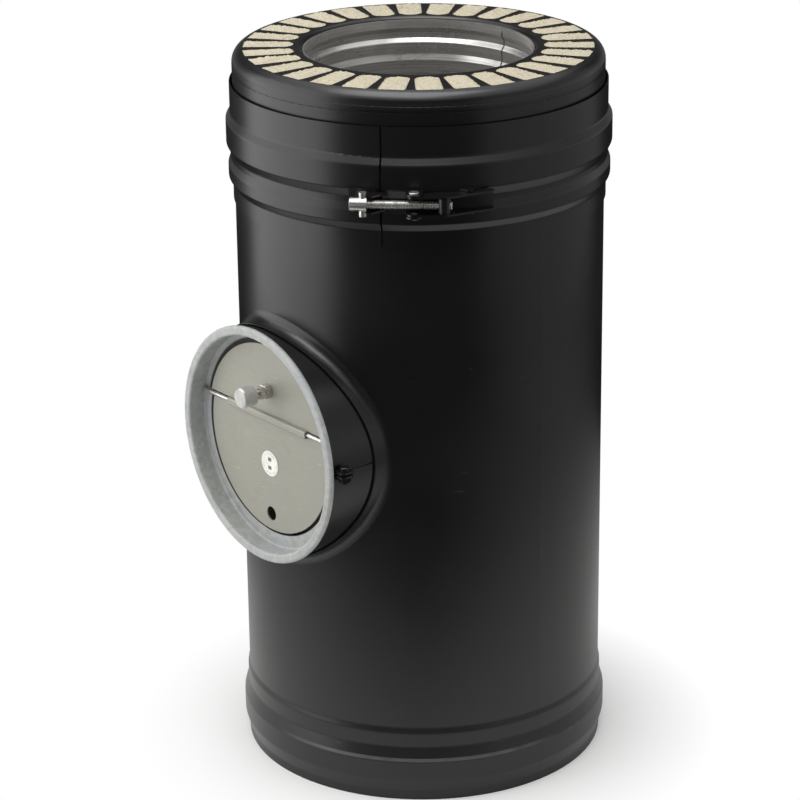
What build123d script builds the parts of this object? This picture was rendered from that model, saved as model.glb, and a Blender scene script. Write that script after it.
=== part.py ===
from build123d import *
import os
from math import cos, pi, radians, sin

# Insulated stove pipe element with a draft regulator, in millimetres.
# The origin is on the pipe's axis at its lower edge, +Z runs up the pipe and the regulator faces -Y.
# Angles round the pipe are measured from the regulator, positive towards +X.

# Pipe
pipe_length = 500.0
shell_radius = 125.0
shell_wall = 0.8
flue_radius = 75.0
liner_wall = 1.0
slide_clearance = 0.3
wool_clearance = 1.5
weld_gap = 0.05
running_clearance = 0.05

# Lower socket of the shell, which slides over the neck of the pipe below
socket_depth = 54.0
socket_cone = 4.0
socket_lip = 6.0
bead_height = 2.9
bead_flank = 10.0
bead_crest = 14.0
sheet_bend = 6.0

# Neck bead, on which the socket of the pipe above stops
neck_bead_drop = 6.0
neck_bead_crest = 6.0
neck_bead_flank = 6.0

# Liner: spigot at the bottom, socket with a seal bead at the top
spigot_setback = 30.0
stop_bead_height = 3.0
stop_bead_crest = 2.0
stop_bead_flank = 3.0
stop_bead_drop = 1.0
liner_setback = 2.0
flue_socket_depth = 24.0
flue_socket_clearance = 0.6
flue_socket_cone = 4.0
seal_bead_height = 2.2
seal_bead_crest = 4.0
seal_bead_flank = 3.0
seal_bead_setback = 11.0

# Cap rings that close the insulation
cap_wall = 1.2
cap_height = 12.0
cap_corner = 9.0
cap_skirt = 13.0
cap_lip = 5.0
cap_lip_corner = 3.0
cap_bend = 1.5
slot_count = 30
slot_outer_web = 6.4
slot_inner_web = 2.4
slot_outer_margin = 7.5
slot_inner_margin = 5.5
slot_arch = 5.0
slot_corner = 2.0
base_upstand = 9.0
base_bend = 2.5

# Locking band
band_wall = 0.8
band_bottom = 398.0
band_lip = 11.0
band_lower_flank = 5.0
band_lower_crest = 8.0
band_groove = 4.0
band_upper_flank = 6.0
band_upper_crest = 16.0
band_top_flank = 5.0
band_collar = 20.0
band_bend = 2.5
band_gap = 1.2
band_gap_angle = 39.5

# Lock on the band: hook, tension screw and over-centre lever
lock_angle = 45.9
bracket_plate = 1.2
bracket_width = 16.0
screw_diameter = 6.0
screw_axis_height = 7.0
screw_head_diameter = 8.8
screw_head_length = 6.0
screw_socket_flats = 5.0
screw_socket_depth = 3.2
screw_tip = 5.0
tee_reach = 25.0
tee_diameter = 5.0
tee_length = 16.0
tee_boss_diameter = 9.4
hook_ear_gap = 12.0
hook_ear_reach = 12.0
hook_ear_rise = 3.0
hook_ledge = 3.0
hook_plate_reach = 8.0
nut_reach = 27.0
nut_diameter = 8.5
nut_journal_diameter = 5.0
pivot_reach = 7.8
over_centre = 1.5
pivot_diameter = 4.0
pivot_head_diameter = 6.5
pivot_head = 0.9
pivot_boss = 4.6
lever_plate = 1.2
lever_gap = 10.6
lever_angle = 71.2
lever_web_angle = 54.4
lever_tip_radius = 2.6
lever_clearance = 0.65
lever_side_clearance = 0.3
base_start_angle = 46.9
base_end_angle = 67.9
base_boss = 5.2
keeper_angle = 64.2
keeper_radius = 2.6
keeper_rise = 3.0
ear_foot = 3.0

# Branch: drawn neck, sleeve to the flue and clamping collar
branch_height = 249.0
ring_radius = 82.0
ring_wall = 2.0
ring_lip_width = 6.5
ring_lip_depth = 4.0
ring_lip_round = 1.9
ring_recess = 13.5
ring_flange = 9.5
ring_flange_wall = 2.0
ring_spigot = 29.0
ring_corner = 1.5
regulator_reach = 144.5
sleeve_wall = 0.7
sleeve_overlap = 12.0
collar_wall = 2.0
collar_length = 43.0
collar_slit = 1.2
collar_slit_angle = 2.0
neck_clearance = 0.9
neck_height = 9.0
neck_fillet = 7.0
lug_width = 10.0
lug_height = 8.6
lug_wall = 1.6
lug_setback = 6.0
lug_corner = 3.0
pinch_diameter = 4.0
pinch_head_diameter = 6.8
pinch_head_height = 2.8
pinch_nut_flats = 7.0
pinch_nut_height = 3.0
pinch_tail = 1.5

# Regulator disc and its counterweight
disc_radius = 68.0
disc_sheet = 1.0
disc_seat_clearance = 0.3
disc_edge_clearance = 2.0
disc_notch = 2.1
disc_bend = 0.7
axle_diameter = 3.0
axle_rise = 17.5
axle_end_clearance = 0.5
channel_length = 86.0
channel_clearance = 0.1
air_hole_diameter = 10.0
air_hole_drop = 52.5
stud_diameter = 5.0
stud_rise = 36.5
base_nut_flats = 9.0
base_nut_height = 4.7
lock_nut_flats = 8.0
lock_nut_height = 4.3
back_nut_height = 3.2
stud_tail = 1.2
stud_bare = 3.4
stud_in_knob = 6.0
knob_diameter = 14.0
knob_length = 11.0
knob_face = 1.5
knob_edge = 0.8
label_diameter = 18.0
label_drop = 16.0
label_thickness = 0.3

# Sizes that follow from the ones above
shell_bore = shell_radius - shell_wall
shell_top = pipe_length - cap_height
socket_radius = shell_radius + slide_clearance + shell_wall
bead_radius = socket_radius + bead_height
neck_bead_height = pipe_length - socket_depth - neck_bead_drop
neck_bead_radius = shell_radius + bead_height
liner_radius = flue_radius + liner_wall
liner_top = pipe_length - liner_setback
flue_socket_radius = liner_radius + flue_socket_clearance
seal_bead_radius = flue_socket_radius + seal_bead_height
stop_bead_radius = liner_radius + stop_bead_height
stop_bead_bottom = socket_depth - stop_bead_drop
cap_lip_radius = flue_socket_radius + liner_wall + slide_clearance
base_level = socket_depth + weld_gap

flange_reach = regulator_reach - ring_recess
ring_bore = ring_radius - ring_lip_width
ring_spigot_radius = ring_bore + ring_wall
port_radius = ring_bore - ring_flange
sleeve_radius = ring_bore - slide_clearance
sleeve_bore = sleeve_radius - sleeve_wall
collar_bore = ring_spigot_radius + slide_clearance
collar_radius = collar_bore + collar_wall
neck_bore = collar_radius + neck_clearance
neck_radius = neck_bore + shell_wall

lip_radius = shell_radius + slide_clearance + band_wall
lower_crest_radius = neck_bead_radius + slide_clearance + band_wall
groove_radius = socket_radius + slide_clearance + band_wall
upper_crest_radius = bead_radius + slide_clearance + band_wall
groove_bottom = band_bottom + band_lip + band_lower_flank + band_lower_crest + band_lower_flank
upper_crest_bottom = groove_bottom + band_groove + band_upper_flank
lock_height = upper_crest_bottom + bracket_plate - bracket_width / 2
bracket_bore = upper_crest_radius + weld_gap
bracket_radius = bracket_bore + bracket_plate
screw_axis = bracket_bore + screw_axis_height
pivot_axis = screw_axis + over_centre
lever_bore = bracket_radius + lever_clearance
lever_width = lever_gap + 2 * lever_plate

# Frames: the lock's has x along the band, y out from the pipe's axis; the regulator's has z out of the flange
lock_azimuth = radians(lock_angle - 90)
lock_tangent = (-sin(lock_azimuth), cos(lock_azimuth), 0)
lock_frame = Plane((0, 0, lock_height), x_dir=lock_tangent, z_dir=(0, 0, -1)).location
flange_frame = Plane((0, -flange_reach, branch_height), x_dir=(1, 0, 0), z_dir=(0, -1, 0)).location
axle_out = disc_seat_clearance + axle_diameter / 2
upright = (Align.CENTER, Align.CENTER, Align.MIN)


def spun(face):
    """A face drawn as radius and height, spun about Z."""
    return revolve(Plane.XZ * face, Axis.Z)


def spun_sheet(points, wall, bends, side):
    """A sheet of even thickness spun about Z, its drawn line given as radius and height points."""
    return spun(make_face(FilletPolyline(*points, radius=bends).offset_2d(wall, side=side, closed=True).edges()))


def tube(outer, inner, length):
    return Cylinder(outer, length, align=upright) - Cylinder(inner, length, align=upright)


def through_branch(radius, reach):
    """A cylinder from the pipe's axis out along the branch."""
    return Pos(0, 0, branch_height) * Rot(90, 0, 0) * Cylinder(radius, reach, align=upright)


def at_regulator(shape):
    return flange_frame * shape


def hexagon(flats, height):
    return extrude(RegularPolygon(flats / 2, 6, major_radius=False), height)


def on_band(radius, angle):
    """A point of the lock's frame at a radius and an angle round the pipe."""
    turn = radians(angle - lock_angle)
    return (radius * sin(turn), radius * cos(turn))


def band_sector(inner, outer, start, end):
    """The face between two radii and two angles round the pipe."""
    first = 90 - (end - lock_angle)
    arcs = [CenterArc((0, 0), radius, first, end - start) for radius in (inner, outer)]
    sides = [Line(arcs[0] @ place, arcs[1] @ place) for place in (0, 1)]
    return make_face(arcs + sides)


def hull_of(*faces):
    return make_hull([edge for face in faces for edge in face.edges()])


def both_sides(face, inner_gap, wall):
    """Two like plates on either side of the lock's mid plane."""
    plate = Pos(0, 0, inner_gap / 2) * extrude(face, wall)
    return plate + mirror(plate, Plane.XY)


def mid_plane(face, width):
    return extrude(face, width / 2, both=True)


def make_outer_shell():
    """Painted shell with its socket, neck bead and the neck drawn out for the branch."""
    bead_low = socket_lip + bead_flank
    bead_high = bead_low + bead_crest
    line = [
        (socket_radius, 0),
        (socket_radius, socket_lip),
        (bead_radius, bead_low),
        (bead_radius, bead_high),
        (socket_radius, bead_high + bead_flank),
        (socket_radius, socket_depth - socket_cone),
        (shell_radius, socket_depth),
    ]
    half = neck_bead_crest / 2
    for radius, offset in (
        (shell_radius, -half - neck_bead_flank),
        (neck_bead_radius, -half),
        (neck_bead_radius, half),
        (shell_radius, half + neck_bead_flank),
    ):
        line.append((radius, neck_bead_height + offset))
    line.append((shell_radius, shell_top))
    wall = spun_sheet(line, shell_wall, sheet_bend, Side.LEFT)
    return wall - through_branch(neck_bore, 2 * shell_radius) + drawn_neck()


def drawn_neck():
    """The short neck pressed out of the shell, filleted into it, with its edge following the shell."""
    patch_height = 2 * (neck_radius + 2 * neck_fillet)

    def blend(radius, bore, fillet_radius, rim):
        patch = Cylinder(radius, patch_height)
        stub = Pos(0, 0, -branch_height) * through_branch(bore, 2 * radius) & Cylinder(rim, patch_height)
        joined = patch + stub
        return fillet(new_edges(patch, stub, combined=joined), fillet_radius)

    rim = shell_radius + neck_height
    outer = blend(shell_radius, neck_radius, neck_fillet, rim)
    inner = blend(shell_bore, neck_bore, neck_fillet + shell_wall, rim + shell_wall)
    reach = neck_radius + 2 * neck_fillet
    keep = Pos(0, 0, -branch_height) * through_branch(reach, 2 * shell_radius)
    return Pos(0, 0, branch_height) * ((outer - inner) & keep)


def make_inner_liner():
    """Stainless flue liner: spigot and stop bead below, beaded socket above, open to the branch."""
    stop_low = stop_bead_bottom + stop_bead_flank
    stop_high = stop_low + stop_bead_crest
    socket_low = liner_top - flue_socket_depth
    bead_middle = liner_top - seal_bead_setback
    crest = seal_bead_crest / 2
    line = [
        (flue_radius, spigot_setback),
        (flue_radius, stop_bead_bottom),
        (flue_radius + stop_bead_height, stop_low),
        (flue_radius + stop_bead_height, stop_high),
        (flue_radius, stop_high + stop_bead_flank),
        (flue_radius, socket_low - flue_socket_cone),
        (flue_socket_radius, socket_low),
        (flue_socket_radius, bead_middle - crest - seal_bead_flank),
        (seal_bead_radius, bead_middle - crest),
        (seal_bead_radius, bead_middle + crest),
        (flue_socket_radius, bead_middle + crest + seal_bead_flank),
        (flue_socket_radius, liner_top),
    ]
    return spun_sheet(line, liner_wall, liner_wall, Side.RIGHT) - through_branch(sleeve_bore, 2 * flue_radius)


def slot_face(margin):
    """One slot of the top cap, arched towards the flue; margin shrinks it all round."""
    outer = shell_radius - slot_outer_margin - margin
    crown = cap_lip_radius + slot_inner_margin + margin
    spring = crown + slot_arch
    half_pitch = pi / slot_count
    outer_half = outer * sin(half_pitch) - slot_outer_web / 2 - margin
    spring_half = spring * sin(half_pitch) - slot_inner_web / 2 - margin
    arch = ThreePointArc((spring, -spring_half), (crown, 0), (spring, spring_half))
    sides = Polyline((spring, spring_half), (outer, outer_half), (outer, -outer_half), (spring, -spring_half))
    face = make_face(arch.edges() + sides.edges())
    return fillet(face.vertices().group_by(Axis.X)[-1], slot_corner - margin)


def slot_pattern(margin, low, high):
    slots = [turn * slot_face(margin) for turn in PolarLocations(0, slot_count)]
    return Pos(0, 0, low) * extrude(Sketch() + slots, high - low)


def make_top_cap():
    """Pressed ring with a slotted face; its skirt is joggled to sit inside the shell's edge."""
    skirt = shell_bore - weld_gap
    seam = shell_top + cap_bend / 2
    line = [
        (skirt, shell_top - cap_skirt),
        (skirt, seam),
        (shell_radius, seam + 2 * shell_wall),
        (shell_radius, pipe_length),
        (cap_lip_radius, pipe_length),
        (cap_lip_radius, pipe_length - cap_lip),
    ]
    ring = spun_sheet(line, cap_wall, [cap_bend, cap_bend, cap_corner, cap_lip_corner], Side.LEFT)
    return ring - slot_pattern(0, pipe_length - 2 * cap_wall, pipe_length + cap_wall)


def make_bottom_cap():
    """Plain ring recessed behind the socket, with an upstand at each edge."""
    outer = shell_bore - weld_gap
    inner = stop_bead_radius + slide_clearance
    line = [
        (outer, base_level + base_upstand),
        (outer, base_level),
        (inner, base_level),
        (inner, base_level + base_upstand),
    ]
    return spun_sheet(line, cap_wall, base_bend, Side.RIGHT)


def make_insulation():
    """Mineral wool between liner and shell, showing through the slots of the top cap."""
    floor = base_level + cap_wall + weld_gap
    ceiling = pipe_length - cap_wall - weld_gap
    outer = shell_bore - cap_wall - weld_gap - slide_clearance
    inner = seal_bead_radius + liner_wall + slide_clearance
    top_inner = cap_lip_radius + cap_wall + cap_lip_corner
    shoulder = liner_top - seal_bead_setback
    base_inner = stop_bead_radius + slide_clearance + cap_wall + base_bend
    face = Polygon(
        (base_inner, floor),
        (outer - base_bend, floor),
        (outer, floor + base_bend),
        (outer, ceiling - cap_corner),
        (outer - cap_corner, ceiling),
        (top_inner, ceiling),
        (top_inner, ceiling - cap_lip - cap_lip_corner),
        (inner, shoulder),
        (inner, liner_top - flue_socket_depth - flue_socket_cone),
        (liner_radius + wool_clearance, liner_top - flue_socket_depth - 2 * flue_socket_cone),
        (liner_radius + wool_clearance, floor + base_upstand),
        (base_inner, floor + base_upstand),
        align=None,
    )
    pads = slot_pattern(slide_clearance, ceiling, pipe_length)
    return spun(face) + pads - through_branch(neck_bore, 2 * shell_radius)


def make_locking_band():
    """Beaded band that clamps the socket of the next pipe over the neck, split at the lock."""
    steps = [
        (lip_radius, 0),
        (lip_radius, band_lip),
        (lower_crest_radius, band_lower_flank),
        (lower_crest_radius, band_lower_crest),
        (groove_radius, band_lower_flank),
        (groove_radius, band_groove),
        (upper_crest_radius, band_upper_flank),
        (upper_crest_radius, band_upper_crest),
        (groove_radius, band_top_flank),
        (groove_radius, band_collar),
    ]
    line = []
    level = band_bottom
    for radius, rise in steps:
        level += rise
        line.append((radius, level))
    band = spun_sheet(line, band_wall, band_bend, Side.LEFT)
    split = Pos(upper_crest_radius, 0, band_bottom) * Box(
        shell_radius, band_gap, level - band_bottom, align=upright
    )
    return band - Rot(0, 0, band_gap_angle - 90) * split


def make_hook_bracket():
    """Plate welded to the left end of the band, with two ears that hold the tee bar."""
    seat = tee_diameter / 2 + slide_clearance
    left = -tee_reach
    edge = left + seat
    ledge = screw_axis - seat
    crown = screw_axis + hook_ear_rise
    mid_wall = bracket_bore + bracket_plate / 2
    tip = edge + hook_ear_reach
    ear = Polygon(
        (left - hook_ledge, ledge),
        (edge, ledge),
        (edge, crown),
        (edge + hook_ear_rise, crown),
        (tip, mid_wall),
        (tip, mid_wall - bracket_plate),
        (left - hook_ledge, mid_wall - 2 * hook_ledge),
        align=None,
    )
    ears = both_sides(ear - Circle(mid_wall), hook_ear_gap, bracket_plate)
    end = band_gap_angle - 2 * degrees_for(band_gap, bracket_bore)
    plate = band_sector(bracket_bore, bracket_radius, end - hook_plate_reach, end)
    return lock_frame * (mid_plane(plate, bracket_width) + ears)


def degrees_for(arc, radius):
    return arc / radius * 180 / pi


def ear_over(face, angle, radius):
    """Joins a round boss to the bracket plate below it."""
    foot = degrees_for(ear_foot, radius)
    return hull_of(face, Line(on_band(radius, angle - 2 * foot), on_band(radius, angle + 2 * foot)))


def make_lever_bracket():
    """Plate welded to the right end of the band, with pivot ears and two keepers beside the lever."""
    inner_gap = lever_width + 2 * lever_side_clearance
    mid_wall = bracket_bore + bracket_plate / 2
    pivot = Pos(pivot_reach, pivot_axis)
    pivot_angle = lock_angle + degrees_for(pivot_reach, pivot_axis)
    ear = ear_over(pivot * Circle(base_boss), pivot_angle, mid_wall)
    ear -= pivot * Circle(pivot_diameter / 2 + weld_gap)
    keeper_place = on_band(bracket_radius + keeper_rise, keeper_angle)
    keeper = ear_over(Pos(*keeper_place) * Circle(keeper_radius), keeper_angle, mid_wall)
    plate = band_sector(bracket_bore, bracket_radius, base_start_angle, base_end_angle)
    upstands = both_sides((ear + keeper) - Circle(mid_wall), inner_gap, bracket_plate)
    return lock_frame * (mid_plane(plate, inner_gap + 2 * bracket_plate) + upstands)


def make_lever_pivots():
    """Two stub rivets, so that the tension screw can pass between them."""
    start = lever_gap / 2
    ear_outside = lever_width / 2 + lever_side_clearance + bracket_plate
    stub = Pos(0, 0, start) * Cylinder(pivot_diameter / 2, ear_outside - start, align=upright)
    head = Pos(0, 0, ear_outside) * Cylinder(pivot_head_diameter / 2, pivot_head, align=upright)
    rivet = Pos(pivot_reach, pivot_axis, 0) * (stub + fillet(head.edges().sort_by(Axis.Z)[-1], pivot_head / 2))
    return lock_frame * Compound(children=[rivet, mirror(rivet, Plane.XY)])


def make_lock_lever():
    """Channel-shaped lever open to the outside, curved to lie along the band when closed."""
    pivot = Pos(pivot_reach, pivot_axis)
    nut = Pos(nut_reach, screw_axis)
    tip = Pos(*on_band(lever_bore + lever_tip_radius, lever_angle - degrees_for(lever_tip_radius, lever_bore)))
    side = hull_of(pivot * Circle(pivot_boss), nut * Circle(pivot_boss), tip * Circle(lever_tip_radius))
    side -= Circle(lever_bore)
    side -= pivot * Circle(pivot_diameter / 2 + running_clearance)
    side -= nut * Circle(nut_journal_diameter / 2 + running_clearance)
    web = band_sector(lever_bore, lever_bore + lever_plate, lever_web_angle, lever_angle)
    return lock_frame * (both_sides(side, lever_gap, lever_plate) + mid_plane(web, lever_width))


def make_barrel_nut():
    barrel = Cylinder(nut_diameter / 2, lever_gap - 2 * lever_side_clearance)
    journals = Cylinder(nut_journal_diameter / 2, lever_width)
    bore = Rot(0, 90, 0) * Cylinder(screw_diameter / 2 + running_clearance, 2 * nut_diameter)
    return lock_frame * Pos(nut_reach, screw_axis, 0) * (barrel + journals - bore)


def make_tee_bar():
    """Cross bar with a boss for the screw; its ends lie behind the hook's ears."""
    bar = Cylinder(tee_diameter / 2, tee_length)
    boss = Rot(0, 90, 0) * Cylinder(tee_boss_diameter / 2, tee_diameter)
    bore = Rot(0, 90, 0) * Cylinder(screw_diameter / 2 + running_clearance, 2 * tee_boss_diameter)
    return lock_frame * Pos(-tee_reach, screw_axis, 0) * (bar + boss - bore)


def make_tension_screw():
    """Socket-head screw from the tee bar to the barrel nut."""
    seat = -tee_reach - tee_diameter / 2 - weld_gap
    shank = Cylinder(screw_diameter / 2, nut_reach + screw_tip - seat, align=upright)
    shank = chamfer(shank.edges().sort_by(Axis.Z)[-1], screw_diameter / 10)
    head = Cylinder(screw_head_diameter / 2, screw_head_length, align=(Align.CENTER, Align.CENTER, Align.MAX))
    head = fillet(head.edges().sort_by(Axis.Z)[0], screw_head_length / 10)
    recess = Pos(0, 0, -screw_head_length) * hexagon(screw_socket_flats, screw_socket_depth)
    return lock_frame * Pos(seat, screw_axis, 0) * Rot(0, 90, 0) * (shank + head - recess)


def make_branch_sleeve():
    """Stainless sleeve from the flue liner out to the regulator ring."""
    front = flange_reach - ring_flange_wall - ring_spigot + sleeve_overlap
    sleeve = through_branch(sleeve_radius, front) - through_branch(sleeve_bore, front)
    return sleeve - Cylinder(liner_radius + weld_gap, pipe_length, align=upright)


def make_branch_collar():
    """Painted clamping collar round the ring's spigot, split on one side with two pinch lugs."""
    front = ring_recess - ring_lip_depth - slide_clearance
    collar = Pos(0, 0, front - collar_length) * tube(collar_radius, collar_bore, collar_length)
    slit = Pos(collar_bore, 0, front - collar_length) * Box(
        4 * collar_wall, collar_slit, collar_length, align=upright
    )
    blank = Pos(collar_bore + collar_wall / 2, -lug_width / 2) * Rectangle(
        lug_height + collar_wall / 2, lug_width, align=(Align.MIN, Align.MIN)
    )
    blank = fillet(blank.vertices().group_by(Axis.X)[-1], lug_corner)
    blank -= Pos(collar_radius + lug_height / 2, 0) * Circle(pinch_diameter / 2 + running_clearance)
    lug = Pos(0, 0, front - lug_setback) * Rot(90, 0, 0) * Pos(0, 0, collar_slit / 2) * extrude(blank, lug_wall)
    lugs = lug + mirror(lug, Plane.XZ)
    return at_regulator(Rot(0, 0, collar_slit_angle) * (collar - slit + lugs))


def at_pinch(shape):
    """Places a shape on the pinch screw's axis, with z running up from the slit."""
    front = ring_recess - ring_lip_depth - slide_clearance
    place = Rot(0, 0, collar_slit_angle) * Pos(collar_radius + lug_height / 2, 0, front - lug_setback)
    return at_regulator(place * Rot(-90, 0, 0) * shape)


def make_pinch_screw():
    seat = collar_slit / 2 + lug_wall + weld_gap
    length = 2 * seat + pinch_nut_height + pinch_tail
    shank = Pos(0, 0, seat - length) * Cylinder(pinch_diameter / 2, length, align=upright)
    head = Pos(0, 0, seat) * Cylinder(pinch_head_diameter / 2, pinch_head_height, align=upright)
    head = fillet(head.edges().sort_by(Axis.Z)[-1], pinch_head_height / 3)
    return at_pinch(shank + head)


def make_pinch_nut():
    seat = collar_slit / 2 + lug_wall + weld_gap
    nut = hexagon(pinch_nut_flats, pinch_nut_height) - Cylinder(
        pinch_diameter / 2 + running_clearance, pinch_nut_height, align=upright
    )
    return at_pinch(Pos(0, 0, -seat - pinch_nut_height) * nut)


def make_regulator_ring():
    """Pressed ring: rolled lip, recess wall, inward seat flange and a spigot for the collar."""
    lip_back = ring_recess - ring_lip_depth
    back = -ring_flange_wall - ring_spigot
    face = Polygon(
        (port_radius, 0),
        (ring_bore, 0),
        (ring_bore, ring_recess),
        (ring_radius, ring_recess),
        (ring_radius, lip_back),
        (ring_spigot_radius, lip_back),
        (ring_spigot_radius, back),
        (ring_bore, back),
        (ring_bore, -ring_flange_wall),
        (port_radius, -ring_flange_wall),
        align=None,
    )

    def corner(radius, height):
        return face.vertices().sort_by_distance((radius, height, 0))[0]

    for radius, height, bend in (
        (ring_bore, 0, ring_corner),
        (ring_bore, ring_recess, ring_corner),
        (ring_radius, ring_recess, ring_lip_round),
        (ring_radius, lip_back, ring_lip_round),
    ):
        face = fillet(corner(radius, height), bend)
    axle_bore = Pos(0, axle_rise, axle_out) * Rot(0, 90, 0) * Cylinder(
        axle_diameter / 2 + running_clearance, 2 * ring_spigot_radius
    )
    return at_regulator(spun(face) - axle_bore)


def make_regulator_disc():
    """Sheet disc with a channel for the axle; the upper half laps the flange, the lower half swings into the port."""
    level = disc_seat_clearance + disc_sheet / 2
    crest = axle_out + axle_diameter / 2 + channel_clearance + disc_sheet / 2
    flank = axle_diameter / 2 + channel_clearance + disc_sheet / 2
    low = axle_rise - flank
    high = axle_rise + flank
    far = 2 * disc_radius
    bends = [(-far, level), (low, level), (low, crest), (high, crest), (high, level), (far, level)]
    outline = FilletPolyline(*bends, radius=disc_bend).offset_2d(disc_sheet / 2, side=Side.BOTH)
    channel = mid_plane(Plane.YZ * make_face(outline.edges()), channel_length)
    across = 2 * disc_radius
    upper = Circle(disc_radius) & Pos(0, axle_rise + disc_notch) * Rectangle(
        across, across, align=(Align.CENTER, Align.MIN)
    )
    lower = Circle(port_radius - disc_edge_clearance) & Pos(0, axle_rise - disc_notch) * Rectangle(
        across, across, align=(Align.CENTER, Align.MAX)
    )
    middle = hull_of(upper, lower) & Rectangle(channel_length, 2 * across)
    sheet = Pos(0, 0, disc_seat_clearance) * extrude(upper + lower, disc_sheet)
    sheet -= mid_plane(Rectangle(channel_length, across), ring_recess)
    sheet += channel & mid_plane(middle, ring_recess)
    air_hole = Pos(0, -air_hole_drop, 0) * Cylinder(air_hole_diameter / 2, ring_recess)
    stud_hole = Pos(0, stud_rise, 0) * Cylinder(stud_diameter / 2 + running_clearance, ring_recess)
    return at_regulator(sheet - air_hole - stud_hole)


def make_axle_rod():
    reach = (ring_spigot_radius**2 - axle_rise**2) ** 0.5 - axle_end_clearance
    return at_regulator(Pos(0, axle_rise, axle_out) * Rot(0, 90, 0) * Cylinder(axle_diameter / 2, 2 * reach))


def at_stud(shape):
    """Places a shape on the counterweight's stud, with z running out from the disc's front face."""
    return at_regulator(Pos(0, stud_rise, disc_seat_clearance + disc_sheet) * shape)


def bored_nut(flats, height):
    return hexagon(flats, height) - Cylinder(stud_diameter / 2 + running_clearance, height, align=upright)


def make_weight_stud():
    back = disc_sheet + back_nut_height + stud_tail
    front = base_nut_height + lock_nut_height + stud_bare + stud_in_knob
    return at_stud(Pos(0, 0, -back) * Cylinder(stud_diameter / 2, back + front, align=upright))


def make_weight_knob():
    """Round counterweight with a blind threaded hole, screwed along the stud to set the draught."""
    start = base_nut_height + lock_nut_height + stud_bare
    knob = Cylinder(knob_diameter / 2, knob_length, align=upright)
    knob = chamfer(knob.edges().filter_by(GeomType.CIRCLE), knob_edge)
    bore = Cylinder(stud_diameter / 2 + running_clearance, knob_length - knob_face, align=upright)
    return at_stud(Pos(0, 0, start) * (knob - bore))


def make_disc_label():
    face = disc_seat_clearance + disc_sheet + weld_gap
    return at_regulator(Pos(0, -label_drop, face) * Cylinder(label_diameter / 2, label_thickness, align=upright))


nodes = {
    "outer_shell": make_outer_shell(),
    "inner_liner": make_inner_liner(),
    "insulation": make_insulation(),
    "top_cap": make_top_cap(),
    "bottom_cap": make_bottom_cap(),
    "locking_band": make_locking_band(),
    "hook_bracket": make_hook_bracket(),
    "lever_bracket": make_lever_bracket(),
    "lever_pivots": make_lever_pivots(),
    "lock_lever": make_lock_lever(),
    "barrel_nut": make_barrel_nut(),
    "tee_bar": make_tee_bar(),
    "tension_screw": make_tension_screw(),
    "branch_sleeve": make_branch_sleeve(),
    "branch_collar": make_branch_collar(),
    "pinch_screw": make_pinch_screw(),
    "pinch_nut": make_pinch_nut(),
    "regulator_ring": make_regulator_ring(),
    "regulator_disc": make_regulator_disc(),
    "axle_rod": make_axle_rod(),
    "weight_stud": make_weight_stud(),
    "stud_base_nut": at_stud(bored_nut(base_nut_flats, base_nut_height)),
    "stud_lock_nut": at_stud(Pos(0, 0, base_nut_height + weld_gap) * bored_nut(lock_nut_flats, lock_nut_height)),
    "stud_back_nut": at_stud(
        Pos(0, 0, -disc_sheet - weld_gap - back_nut_height) * bored_nut(base_nut_flats, back_nut_height)
    ),
    "weight_knob": make_weight_knob(),
    "disc_label": make_disc_label(),
}

os.makedirs("parts", exist_ok=True)
for name, shape in nodes.items():
    export_step(shape, f"parts/{name}.step")
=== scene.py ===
"""Looks of an insulated stove pipe with a draft regulator, built round its packed model."""

import math

import bmesh
import bpy
import numpy as np
from bpy.props import FloatProperty, FloatVectorProperty, IntProperty, PointerProperty
from bpy.types import Operator, Panel, PropertyGroup
from mathutils import Matrix, Vector


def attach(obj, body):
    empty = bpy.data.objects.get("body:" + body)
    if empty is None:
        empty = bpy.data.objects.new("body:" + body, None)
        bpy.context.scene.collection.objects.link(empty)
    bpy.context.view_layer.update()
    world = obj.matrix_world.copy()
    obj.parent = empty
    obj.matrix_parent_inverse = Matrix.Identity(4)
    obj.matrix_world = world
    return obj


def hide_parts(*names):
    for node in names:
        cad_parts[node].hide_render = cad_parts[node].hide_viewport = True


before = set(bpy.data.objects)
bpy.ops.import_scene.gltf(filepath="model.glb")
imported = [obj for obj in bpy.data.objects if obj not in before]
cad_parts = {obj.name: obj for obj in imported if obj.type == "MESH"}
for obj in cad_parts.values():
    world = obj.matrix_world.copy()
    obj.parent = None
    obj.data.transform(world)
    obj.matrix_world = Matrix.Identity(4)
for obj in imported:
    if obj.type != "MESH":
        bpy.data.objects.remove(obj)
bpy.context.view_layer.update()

bl_info = {
    "name": "Stove pipe with draft regulator",
    "version": (1, 0, 0),
    "blender": (4, 5, 0),
    "location": "View3D > Sidebar > Stove pipe",
    "description": "Dresses the stove pipe: paint, bare metal, mineral wool, threads, weld seam and stage",
    "category": "Object",
}

MM = 0.001


def size(name, description, default):
    """A length in metres that a user may change."""
    return FloatProperty(name=name, description=description, default=default, unit="LENGTH", precision=5)


def colour(name, description, default):
    """A linear colour that a user may change."""
    return FloatVectorProperty(
        name=name, description=description, default=default, size=3, min=0, max=1, subtype="COLOR"
    )


def share(name, description, default):
    """A plain number from 0 to 1."""
    return FloatProperty(name=name, description=description, default=default, min=0, max=1, subtype="FACTOR")


def angle(name, description, default):
    """An angle that a user may change, given here in degrees."""
    return FloatProperty(name=name, description=description, default=math.radians(default), subtype="ANGLE")


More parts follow.
